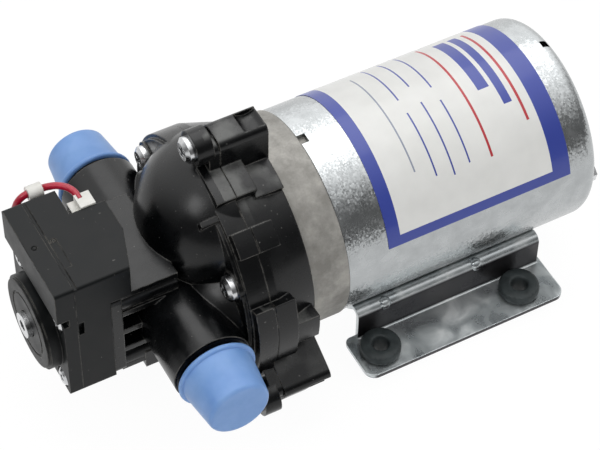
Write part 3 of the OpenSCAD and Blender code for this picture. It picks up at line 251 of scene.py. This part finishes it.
def flex_spring(name, node, still, moving, finish):
    """The part of a spring from one place on X towards its moving end, as a piece of its own."""
    piece = copy_node(name, node, finish)
    low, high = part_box(node)
    if low[0] < still < high[0]:
        kept_side = math.copysign(1, moving - still)
        bpy.ops.mesh.bisect(plane_co=(still, 0, 0), plane_no=(kept_side, 0, 0), use_fill=True,
                            clear_inner=True, threshold=CUT_MERGE)
    bpy.ops.object.mode_set(mode="OBJECT")
    bpy.ops.object.shade_smooth_by_angle(angle=SMOOTH_WOUND)
    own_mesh(piece)


# Finishes. A Mix node's sockets go by number, because those for numbers and colours share their names.
NUMBER_A, NUMBER_B, NUMBER_OUT = 2, 3, 0
COLOUR_A, COLOUR_B, COLOUR_OUT = 6, 7, 2
BEVEL_SAMPLES = 6
BUMP_DEPTH = 0.2 * MM
METAL_EDGE = 0.5 * MM
GRAIN_TILT = 0.16
RIM_FRONT = -76 * MM
EDGE_WEAR = 0.95


def linear(code):
    """An sRGB hex colour as linear values."""
    parts = [int(code[i:i + 2], 16) / 255 for i in (1, 3, 5)]
    return [p / 12.92 if p <= 0.04045 else ((p + 0.055) / 1.055) ** 2.4 for p in parts] + [1.0]


def repeats(size):
    """A texture's scale for features of a size in millimetres."""
    return 1 / (size * MM)


def add(tree, kind, output=None, inputs=None, stops=(), **settings):
    """One node: settings, inputs as values or sockets, and a ramp's stops. Gives the output that is named."""
    made = tree.nodes.new(kind)
    for name, value in settings.items():
        setattr(made, name, value)
    for socket, value in (inputs or {}).items():
        if isinstance(value, bpy.types.NodeSocket):
            tree.links.new(value, made.inputs[socket])
        else:
            made.inputs[socket].default_value = value
    if stops:
        elements = made.color_ramp.elements
        while len(elements) < len(stops):
            elements.new(0.5)
        for element, (position, colour) in zip(elements, stops):
            grey = isinstance(colour, (int, float))
            element.position = position
            element.color = (colour, colour, colour, 1) if grey else colour
    return made if output is None else made.outputs[output]


def start(name, values):
    """A new material with constant values on its shader, and the object's own coordinates."""
    material = bpy.data.materials.new(name)
    material.use_nodes = True
    tree = material.node_tree
    shader = tree.nodes["Principled BSDF"]
    for socket, value in values.items():
        shader.inputs[socket].default_value = value
    return material, tree, shader, add(tree, "ShaderNodeTexCoord", "Object")


def cover(tree, shader, sockets):
    """Patterns linked to the shader's sockets by name."""
    for socket, pattern in sockets.items():
        tree.links.new(pattern, shader.inputs[socket])


def galvanised():
    """Galvanised steel sheet, deep drawn: half-millimetre zinc grains, each tilted a little, that
    glitter between light and dark."""
    material, tree, shader, place = start("galvanised_steel", {"Metallic": 1.0})
    grains = add(tree, "ShaderNodeTexVoronoi", "Color",
                 {"Vector": place, "Scale": repeats(0.55), "Randomness": 1.0})
    cloud = add(tree, "ShaderNodeTexNoise", "Fac", {"Vector": place, "Scale": repeats(6), "Detail": 5})
    colour = add(tree, "ShaderNodeValToRGB", "Color", {"Fac": cloud},
                 [(0.3, linear("#A6A9AA")), (0.7, linear("#B8BBBC"))])
    rough = add(tree, "ShaderNodeValToRGB", "Color", {"Fac": cloud}, [(0.3, 0.22), (0.7, 0.3)])
    tilt = add(tree, "ShaderNodeVectorMath", "Vector", {0: grains, 1: (0.5, 0.5, 0.5)}, operation="SUBTRACT")
    small = add(tree, "ShaderNodeVectorMath", "Vector", {0: tilt, "Scale": GRAIN_TILT}, operation="SCALE")
    flat = add(tree, "ShaderNodeNewGeometry", "Normal")
    leaning = add(tree, "ShaderNodeVectorMath", "Vector", {0: flat, 1: small}, operation="ADD")
    normal = add(tree, "ShaderNodeVectorMath", "Vector", {0: leaning}, operation="NORMALIZE")
    cover(tree, shader, {"Base Color": colour, "Roughness": rough, "Normal": normal})
    return material


def zinc_plate():
    """Bright zinc plating over pressed sheet: a cool blue-grey mirror with soft smears."""
    material, tree, shader, place = start("zinc_plated_steel", {"Metallic": 0.88})
    smear = add(tree, "ShaderNodeTexNoise", "Fac",
                {"Vector": place, "Scale": repeats(11), "Detail": 5, "Distortion": 0.6})
    plate = add(tree, "ShaderNodeValToRGB", "Color", {"Fac": smear},
                [(0.32, linear("#A9AFB2")), (0.52, linear("#C9CECF")), (0.7, linear("#E6E9E9"))])
    # The drawn webs, faces that stand upright across Y, are painted darker than the flat flanges: painted
    # shade
    facing = add(tree, "ShaderNodeNewGeometry", "True Normal")
    sideways = add(tree, "ShaderNodeSeparateXYZ", "Y", {"Vector": facing})
    upright = add(tree, "ShaderNodeMath", "Value", {0: sideways}, operation="ABSOLUTE")
    painted_shade_web = add(tree, "ShaderNodeValToRGB", "Color", {"Fac": upright}, [(0.86, 0.0), (0.97, 0.93)])
    colour = add(tree, "ShaderNodeMix", COLOUR_OUT,
                 {"Factor": painted_shade_web, COLOUR_A: plate, COLOUR_B: linear("#221B20")}, data_type="RGBA")
    rough = add(tree, "ShaderNodeValToRGB", "Color", {"Fac": smear}, [(0.32, 0.2), (0.7, 0.5)])
    rounded = add(tree, "ShaderNodeBevel", "Normal", {"Radius": METAL_EDGE}, samples=BEVEL_SAMPLES)
    # The plating's ripple, drawn coarser than it is so that it shows
    fine = add(tree, "ShaderNodeTexNoise", "Fac", {"Vector": place, "Scale": repeats(1.4), "Detail": 2})
    bump = add(tree, "ShaderNodeBump", "Normal",
               {"Strength": 0.08, "Distance": BUMP_DEPTH, "Height": fine, "Normal": rounded})
    cover(tree, shader, {"Base Color": colour, "Roughness": rough, "Normal": bump})
    return material


def cast_alloy():
    """Die-cast aluminium left as cast: dull warm grey with a sandy grain and a few stains."""
    material, tree, shader, place = start("die_cast_aluminium", {"Metallic": 0.35})
    stain = add(tree, "ShaderNodeTexNoise", "Fac",
                {"Vector": place, "Scale": repeats(8), "Detail": 6, "Roughness": 0.65})
    colour = add(tree, "ShaderNodeValToRGB", "Color", {"Fac": stain},
                 [(0.36, linear("#86847F")), (0.52, linear("#9A9893")), (0.68, linear("#B0ADA7"))])
    grit = add(tree, "ShaderNodeTexNoise", "Fac", {"Vector": place, "Scale": repeats(0.7), "Detail": 2})
    rough = add(tree, "ShaderNodeValToRGB", "Color", {"Fac": grit}, [(0.3, 0.5), (0.7, 0.66)])
    rounded = add(tree, "ShaderNodeBevel", "Normal", {"Radius": METAL_EDGE}, samples=BEVEL_SAMPLES)
    bump = add(tree, "ShaderNodeBump", "Normal",
               {"Strength": 0.25, "Distance": BUMP_DEPTH, "Height": grit, "Normal": rounded})
    cover(tree, shader, {"Base Color": colour, "Roughness": rough, "Normal": bump})
    return material


def moulded(name, gloss, dark, worn, smooth, dull, edge_r, scuff_and_sheen):
    """Moulded black plastic: dark body, rounded and paler rubbed edges, faint dust and flow marks."""
    material, tree, shader, place = start(name, {"IOR": 1.49, "Specular IOR Level": gloss})
    haze = add(tree, "ShaderNodeTexNoise", "Fac",
               {"Vector": place, "Scale": repeats(7), "Detail": 6, "Roughness": 0.6})
    # Edges are found where the rounded normal turns from the flat face, and rubbed in patches
    rounded = add(tree, "ShaderNodeBevel", "Normal", {"Radius": edge_r}, samples=BEVEL_SAMPLES)
    flat = add(tree, "ShaderNodeNewGeometry", "True Normal")
    turn = add(tree, "ShaderNodeVectorMath", "Value", {0: rounded, 1: flat}, operation="DOT_PRODUCT")
    edge = add(tree, "ShaderNodeValToRGB", "Color", {"Fac": turn}, [(0.72, 1.0), (0.985, 0.0)])
    patch = add(tree, "ShaderNodeValToRGB", "Color", {"Fac": haze}, [(0.42, 0.0), (0.66, EDGE_WEAR)])
    rubbed = add(tree, "ShaderNodeMath", "Value", {0: edge, 1: patch}, operation="MULTIPLY", use_clamp=True)
    body = add(tree, "ShaderNodeValToRGB", "Color", {"Fac": haze},
               [(0.35, linear(dark)), (0.8, linear(worn))])
    edged = add(tree, "ShaderNodeMix", COLOUR_OUT,
                {"Factor": rubbed, COLOUR_A: body, COLOUR_B: linear("#8A8781")}, data_type="RGBA")
    # Dust specks of about half a millimetre, the peaks of a millimetre noise
    specks = add(tree, "ShaderNodeTexNoise", "Fac", {"Vector": place, "Scale": repeats(1), "Detail": 0})
    dust = add(tree, "ShaderNodeValToRGB", "Color", {"Fac": specks}, [(0.83, 0.0), (0.88, 0.3)])
    dusty = add(tree, "ShaderNodeMix", COLOUR_OUT,
                {"Factor": dust, COLOUR_A: edged, COLOUR_B: linear("#A09E9A")}, data_type="RGBA")
    # Grey patches, a centimetre or so across, on the uppermost faces of the head's rim: partly scuffs, partly
    # painted sheen of the light from above
    blots = add(tree, "ShaderNodeTexNoise", "Fac",
                {"Vector": place, "Scale": repeats(10.5), "Detail": 3, "Roughness": 0.4})
    scuff_and_sheen_patches = add(tree, "ShaderNodeValToRGB", "Color", {"Fac": blots}, [(0.47, 0.0), (0.62, scuff_and_sheen)])
    rise = add(tree, "ShaderNodeSeparateXYZ", "Z", {"Vector": rounded})
    top = add(tree, "ShaderNodeValToRGB", "Color", {"Fac": rise}, [(0.82, 0.0), (0.95, 1.0)])
    along = add(tree, "ShaderNodeSeparateXYZ", "X", {"Vector": place})
    rim = add(tree, "ShaderNodeMath", "Value", {0: along, 1: RIM_FRONT}, operation="GREATER_THAN")
    high = add(tree, "ShaderNodeMath", "Value", {0: top, 1: rim}, operation="MULTIPLY")
    scuff_and_sheen_mask = add(tree, "ShaderNodeMath", "Value", {0: scuff_and_sheen_patches, 1: high}, operation="MULTIPLY")
    colour = add(tree, "ShaderNodeMix", COLOUR_OUT,
                 {"Factor": scuff_and_sheen_mask, COLOUR_A: dusty, COLOUR_B: linear("#6A6B69")}, data_type="RGBA")
    rough = add(tree, "ShaderNodeValToRGB", "Color", {"Fac": haze}, [(0.3, smooth), (0.75, dull)])
    # Mould texture is finer than this and drawn coarser so that it shows
    pores = add(tree, "ShaderNodeTexNoise", "Fac", {"Vector": place, "Scale": repeats(0.9), "Detail": 2})
    bump = add(tree, "ShaderNodeBump", "Normal",
               {"Strength": 0.06, "Distance": BUMP_DEPTH, "Height": pores, "Normal": rounded})
    cover(tree, shader, {"Base Color": colour, "Roughness": rough, "Normal": bump})
    return material


def plain(name, values, low, high, drift_size, rough, fine_size=1.1, strength=0.08, edge_r=0.2 * MM):
    """A simple finish: a colour that drifts a little, a fine surface and softened edges. The fine
    surface of such pieces is a tenth of a millimetre or less, and is drawn coarser so that it shows."""
    material, tree, shader, place = start(name, values)
    drift = add(tree, "ShaderNodeTexNoise", "Fac",
                {"Vector": place, "Scale": repeats(drift_size), "Detail": 4})
    colour = add(tree, "ShaderNodeValToRGB", "Color", {"Fac": drift},
                 [(0.3, linear(low)), (0.7, linear(high))])
    level = add(tree, "ShaderNodeValToRGB", "Color", {"Fac": drift}, [(0.3, rough[0]), (0.7, rough[1])])
    fine = add(tree, "ShaderNodeTexNoise", "Fac",
               {"Vector": place, "Scale": repeats(fine_size), "Detail": 2})
    rounded = add(tree, "ShaderNodeBevel", "Normal", {"Radius": edge_r}, samples=BEVEL_SAMPLES)
    bump = add(tree, "ShaderNodeBump", "Normal",
               {"Strength": strength, "Distance": BUMP_DEPTH, "Height": fine, "Normal": rounded})
    cover(tree, shader, {"Base Color": colour, "Roughness": level, "Normal": bump})
    return material


# Printed rules of the label: middle and half width along the axis, then round the can, in
# millimetres, and ink. The can's axis and radius turn a place on it into those two.
AXIS_Z = 44.4 * MM
CAN_R = 37.2 * MM
LABEL_INKS = {"blue": "#2C3F9C", "red": "#B81C2C", "grey": "#8C93A6"}
LABEL_MARKS = [
    (-21.5, 2.4, 0, 60, "blue"), (44.9, 3.5, 0, 60, "blue"),
    (12.2, 37, -47, 2.2, "blue"), (12.2, 37, 47, 2.2, "blue"),
    (20.5, 0.45, 2, 29, "red"),
    (12, 0.3, -14, 14, "blue"), (12, 0.3, 18, 12, "blue"),
    (5.5, 0.3, -16, 12, "blue"), (5.5, 0.3, 18, 14, "blue"),
    (-1, 0.3, -14, 14, "blue"), (-1, 0.3, 18, 12, "blue"),
    (-8, 0.3, 2, 24, "grey"),
    (28, 2.2, -8, 16, "blue"), (33.4, 1.6, -4, 20, "blue"), (37.6, 0.5, 0, 24, "red"),
]


def printed_label():
    """Printed vinyl under clear film: white field, a blue border and plain ruled lines, slightly rubbed."""
    film = {"IOR": 1.5, "Coat Weight": 0.35, "Coat Roughness": 0.12}
    material, tree, shader, place = start("printed_vinyl", film)
    spread = add(tree, "ShaderNodeSeparateXYZ", inputs={"Vector": place}).outputs
    height = add(tree, "ShaderNodeMath", "Value", {0: spread["Z"], 1: AXIS_Z}, operation="SUBTRACT")
    near = add(tree, "ShaderNodeMath", "Value", {0: spread["Y"], 1: -1.0}, operation="MULTIPLY")
    angle = add(tree, "ShaderNodeMath", "Value", {0: near, 1: height}, operation="ARCTAN2")
    arc = add(tree, "ShaderNodeMath", "Value", {0: angle, 1: CAN_R}, operation="MULTIPLY")
    smudge = add(tree, "ShaderNodeTexNoise", "Fac", {"Vector": place, "Scale": repeats(9), "Detail": 5})
    colour = add(tree, "ShaderNodeValToRGB", "Color", {"Fac": smudge},
                 [(0.35, linear("#E6E6E3")), (0.6, linear("#EBEBE8")), (0.8, linear("#EFEFEC"))])
    for x, half_x, s, half_s, ink in LABEL_MARKS:
        along = add(tree, "ShaderNodeMath", "Value", {0: spread["X"], 1: x * MM, 2: half_x * MM},
                    operation="COMPARE")
        across = add(tree, "ShaderNodeMath", "Value", {0: arc, 1: s * MM, 2: half_s * MM},
                     operation="COMPARE")
        mark = add(tree, "ShaderNodeMath", "Value", {0: along, 1: across}, operation="MULTIPLY")
        colour = add(tree, "ShaderNodeMix", COLOUR_OUT,
                     {"Factor": mark, COLOUR_A: colour, COLOUR_B: linear(LABEL_INKS[ink])}, data_type="RGBA")
    rough = add(tree, "ShaderNodeValToRGB", "Color", {"Fac": smudge}, [(0.3, 0.36), (0.7, 0.42)])
    cover(tree, shader, {"Base Color": colour, "Roughness": rough})
    return material


def paint(finish, *names):
    """One finish for several CAD nodes."""
    for name in names:
        slots = nodes[name].data.materials
        slots.clear()
        slots.append(finish)


def finish_nodes():
    """Every CAD node's finish, and the new pieces that share one."""
    paint(galvanised(), "motor_can")
    paint(zinc_plate(), "base_bracket")
    paint(cast_alloy(), "front_end_bell", "drive_cam")
    paint(printed_label(), "motor_label")
    # Glass-filled nylon: deep black with a clear sheen, and grey patches on top of the rim, partly scuffs and
    # partly painted sheen
    nylon = moulded("glass_filled_nylon", gloss=0.34, dark="#050607", worn="#0B0C0E", smooth=0.2, dull=0.34,
                    edge_r=0.7 * MM, scuff_and_sheen=0.7)
    paint(nylon, "lower_housing", "upper_housing")
    cut_thread("thread_near", -1, nylon)
    cut_thread("thread_far", 1, nylon)
    # ABS from a sparked mould: a shade paler, and matt
    abs_black = moulded("moulded_abs", gloss=0.18, dark="#090B0C", worn="#121516", smooth=0.38, dull=0.5,
                        edge_r=0.6 * MM, scuff_and_sheen=0.0)
    paint(abs_black, *SWITCH_NODES)
    round_switch(abs_black)

    metal = {"Metallic": 1.0}
    # Nickel plate on turned steel: bright, with small sharp highlights
    paint(plain("nickel_plated_screw", metal, "#B9BABC", "#D9DADB", 2, (0.16, 0.28)),
          "head_screws", "switch_screws", "adjusting_screw", "through_bolts", "piston_screws",
          "housing_screws", "spring_seat")
    # Ground bearing steel: a smooth mid grey mirror
    paint(plain("ground_steel", metal, "#9C9EA2", "#BBBDC0", 2.5, (0.15, 0.25)),
          "motor_shaft", "front_bearing_outer", "front_bearing_inner", "front_bearing_balls",
          "drive_bearing_inner", "drive_bearing_outer", "drive_bearing_balls")
    # Drawn spring wire: darker, with a soft sheen along the turns
    wire = plain("spring_wire", metal, "#6E7074", "#97999C", 1.7, (0.25, 0.35))
    paint(wire, "brush_springs", "check_spring", "setting_spring")
    low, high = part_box("check_spring")
    flex_spring("check_coil", "check_spring", low[0], high[0], wire)
    low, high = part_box("setting_spring")
    middle = (low[0] + high[0]) / 2
    flex_spring("setting_coil_front", "setting_spring", middle, low[0], wire)
    flex_spring("setting_coil_rear", "setting_spring", middle, high[0], wire)
    # Varnished laminations: blue-grey and satin
    paint(plain("varnished_lamination", metal, "#4A4E55", "#666A72", 2, (0.35, 0.5)), "armature_stack")
    # Enamelled copper: brown-red, broken up by the strands
    paint(plain("enamelled_copper", metal, "#7A3D1C", "#A85A2C", 1.25, (0.3, 0.4),
                fine_size=0.4, strength=0.4), "armature_windings")
    # Turned copper: bright and pink
    paint(plain("turned_copper", metal, "#A8683C", "#C78656", 1.4, (0.2, 0.3)), "commutator")
    # Sintered bronze: dull gold, dark with oil
    paint(plain("sintered_bronze", metal, "#7E6136", "#A27F4B", 1.1, (0.4, 0.5)), "rear_bush")
    # Rolled brass: yellow, with a soft sheen
    paint(plain("rolled_brass", metal, "#A98845", "#CDAF6A", 2, (0.22, 0.34)), "terminals")
    # Ferrite: charcoal and dry
    paint(plain("ferrite", {}, "#26272A", "#35363A", 1.7, (0.6, 0.75)), "magnets")
    # Pressed carbon: near black and dry
    paint(plain("carbon_brush", {}, "#121212", "#1C1C1D", 1.7, (0.5, 0.65)), "brushes")
    # Phenolic board: brown, with a faint gloss
    paint(plain("phenolic_board", {"IOR": 1.55}, "#4A2C17", "#63402A", 3.3, (0.4, 0.55)), "brush_card")
    # Moulded black rubber: a soft dark grey with a broad sheen
    rubber = plain("black_rubber", {"IOR": 1.5, "Specular IOR Level": 0.24}, "#2E3334", "#404647", 3.8,
                   (0.34, 0.5), fine_size=0.8, strength=0.12)
    base_grommets = ["grommet_" + corner for corner in ("front_near", "front_far", "rear_near", "rear_far")]
    paint(rubber, *base_grommets, "lead_grommet", "diaphragm", "outlet_seal", "switch_diaphragm")
    for node in base_grommets:
        round_grommet(node, rubber)
    # Valve rubber: brick red and matt
    paint(plain("valve_rubber", {"IOR": 1.5}, "#6B1D16", "#8A2C22", 3.3, (0.5, 0.6)),
          "inlet_valve_top", "inlet_valve_near", "inlet_valve_far", "outlet_valve")
    # Acetal: milky white and smooth
    paint(plain("white_acetal", {"IOR": 1.48}, "#D5D4CF", "#E6E5E1", 5, (0.35, 0.45)),
          "wobble_plate", "piston_top", "piston_near", "piston_far", "check_valve", "switch_plunger",
          "valve_plate")
    # Phenolic case: dark grey and satin
    paint(plain("microswitch_phenolic", {"IOR": 1.55}, "#27272A", "#35353A", 3.3, (0.45, 0.55)),
          "microswitch")
    # Moulded button: a dull red with a small gloss
    paint(plain("red_button", {"IOR": 1.49}, "#8E1F1A", "#A92B24", 3.3, (0.3, 0.4)), "microswitch_button")
    # Soft polythene: waxy pale blue that lets a little light in
    waxy = {"IOR": 1.51, "Subsurface Weight": 0.12, "Subsurface Radius": (0.003, 0.004, 0.006),
            "Subsurface Scale": 0.5}
    paint(plain("blue_polythene", waxy, "#6F9BD9", "#84ACE5", 7.5, (0.34, 0.46), fine_size=2, strength=0.05,
                edge_r=0.6 * MM), "port_cap_near", "port_cap_far")
    # Natural nylon: off-white and slightly clear
    milky = {"IOR": 1.53, "Subsurface Weight": 0.2, "Subsurface Radius": (0.003, 0.003, 0.003),
             "Subsurface Scale": 0.5}
    paint(plain("natural_nylon", milky, "#DEDDD6", "#F0EFEA", 3.8, (0.3, 0.4)),
          "terminal_sleeve", "wire_sleeve")


# Studio: how bright the floor is to the camera and in mirrors, and how much of it shows that way
FLOOR_SIZE = 6
FLOOR_WHITE = 1.04
FLOOR_SHARE = 0.92
# Mirrors see a bright sheet above and behind, and a dark room on the camera's side; the rest is a soft fill
SHEET_WAY = (0.1, 0.55, 0.83)
SHEET_EDGE = 0.8
SHEET_LIGHT = 1.65
ROOM_LIGHT = 0.17
FILL_LIGHT = 0.34
# Lamps: name, place and size in metres, power in watts, and whether mirrors show it
LAMP_AIM = Vector((-0.03, 0, 0.04))
LAMPS = [
    ("key", (0.1, 0.42, 1.05), 1.0, 5.0, True),
    ("near", (0.2, -0.75, 0.85), 1.2, 3.6, False),
    ("side", (-0.77, -0.21, 0.775), 0.35, 1.6, True),
]


def shown(tree):
    """Light paths of a tree: one for camera rays, and one for those of camera, mirror and glass."""
    seen = add(tree, "ShaderNodeLightPath").outputs
    mirror = add(tree, "ShaderNodeMath", "Value", {0: seen["Is Glossy Ray"], 1: seen["Is Transmission Ray"]},
                 operation="MAXIMUM")
    every = add(tree, "ShaderNodeMath", "Value", {0: seen["Is Camera Ray"], 1: mirror}, operation="MAXIMUM")
    return seen["Is Camera Ray"], every


def set_studio():
    """A pale floor, a surround that is white to the camera, and soft lamps."""
    bpy.ops.mesh.primitive_plane_add(size=FLOOR_SIZE, location=(0, 0, 0))
    floor = bpy.context.object
    floor.name = "floor"
    paper = {"Base Color": linear("#EDEDED"), "Roughness": 0.9}
    material, tree, shader, _ = start("floor_paper", paper)
    _, every = shown(tree)
    white = add(tree, "ShaderNodeEmission", "Emission", {"Color": (1, 1, 1, 1), "Strength": FLOOR_WHITE})
    share = add(tree, "ShaderNodeMath", "Value", {0: every, 1: FLOOR_SHARE}, operation="MULTIPLY")
    mixed = add(tree, "ShaderNodeMixShader", "Shader", {0: share, 1: shader.outputs["BSDF"], 2: white})
    tree.links.new(mixed, tree.nodes["Material Output"].inputs["Surface"])
    floor.data.materials.append(material)

    world = bpy.data.worlds.new("studio")
    bpy.context.scene.world = world
    world.use_nodes = True
    tree = world.node_tree
    camera, every = shown(tree)
    way = add(tree, "ShaderNodeTexCoord", "Generated")
    lean = add(tree, "ShaderNodeVectorMath", "Value", {0: way, 1: SHEET_WAY}, operation="DOT_PRODUCT")
    sheet = add(tree, "ShaderNodeMapRange", "Result",
                {"Value": lean, "From Min": 0.0, "From Max": SHEET_EDGE, "To Min": ROOM_LIGHT,
                 "To Max": SHEET_LIGHT}, interpolation_type="SMOOTHSTEP")
    mirrored = add(tree, "ShaderNodeMix", NUMBER_OUT, {"Factor": camera, NUMBER_A: sheet, NUMBER_B: 1.0})
    strength = add(tree, "ShaderNodeMix", NUMBER_OUT,
                   {"Factor": every, NUMBER_A: FILL_LIGHT, NUMBER_B: mirrored})
    sky = tree.nodes["Background"]
    sky.inputs["Color"].default_value = (1, 1, 1, 1)
    tree.links.new(strength, sky.inputs["Strength"])

    for name, place, size, power, mirrors in LAMPS:
        data = bpy.data.lights.new(name, "AREA")
        data.size = size
        data.energy = power
        lamp = bpy.data.objects.new(name, data)
        bpy.context.scene.collection.objects.link(lamp)
        lamp.visible_glossy = mirrors
        lamp.location = place
        lamp.rotation_euler = (LAMP_AIM - Vector(place)).to_track_quat("-Z", "Y").to_euler()
    bpy.context.scene.view_settings.view_transform = "Standard"


place_camera()
lay_lead(plain("pvc_insulation", {"IOR": 1.53}, "#A80F2B", "#C2173A", 3.3, (0.25, 0.35)))
finish_nodes()
set_studio()
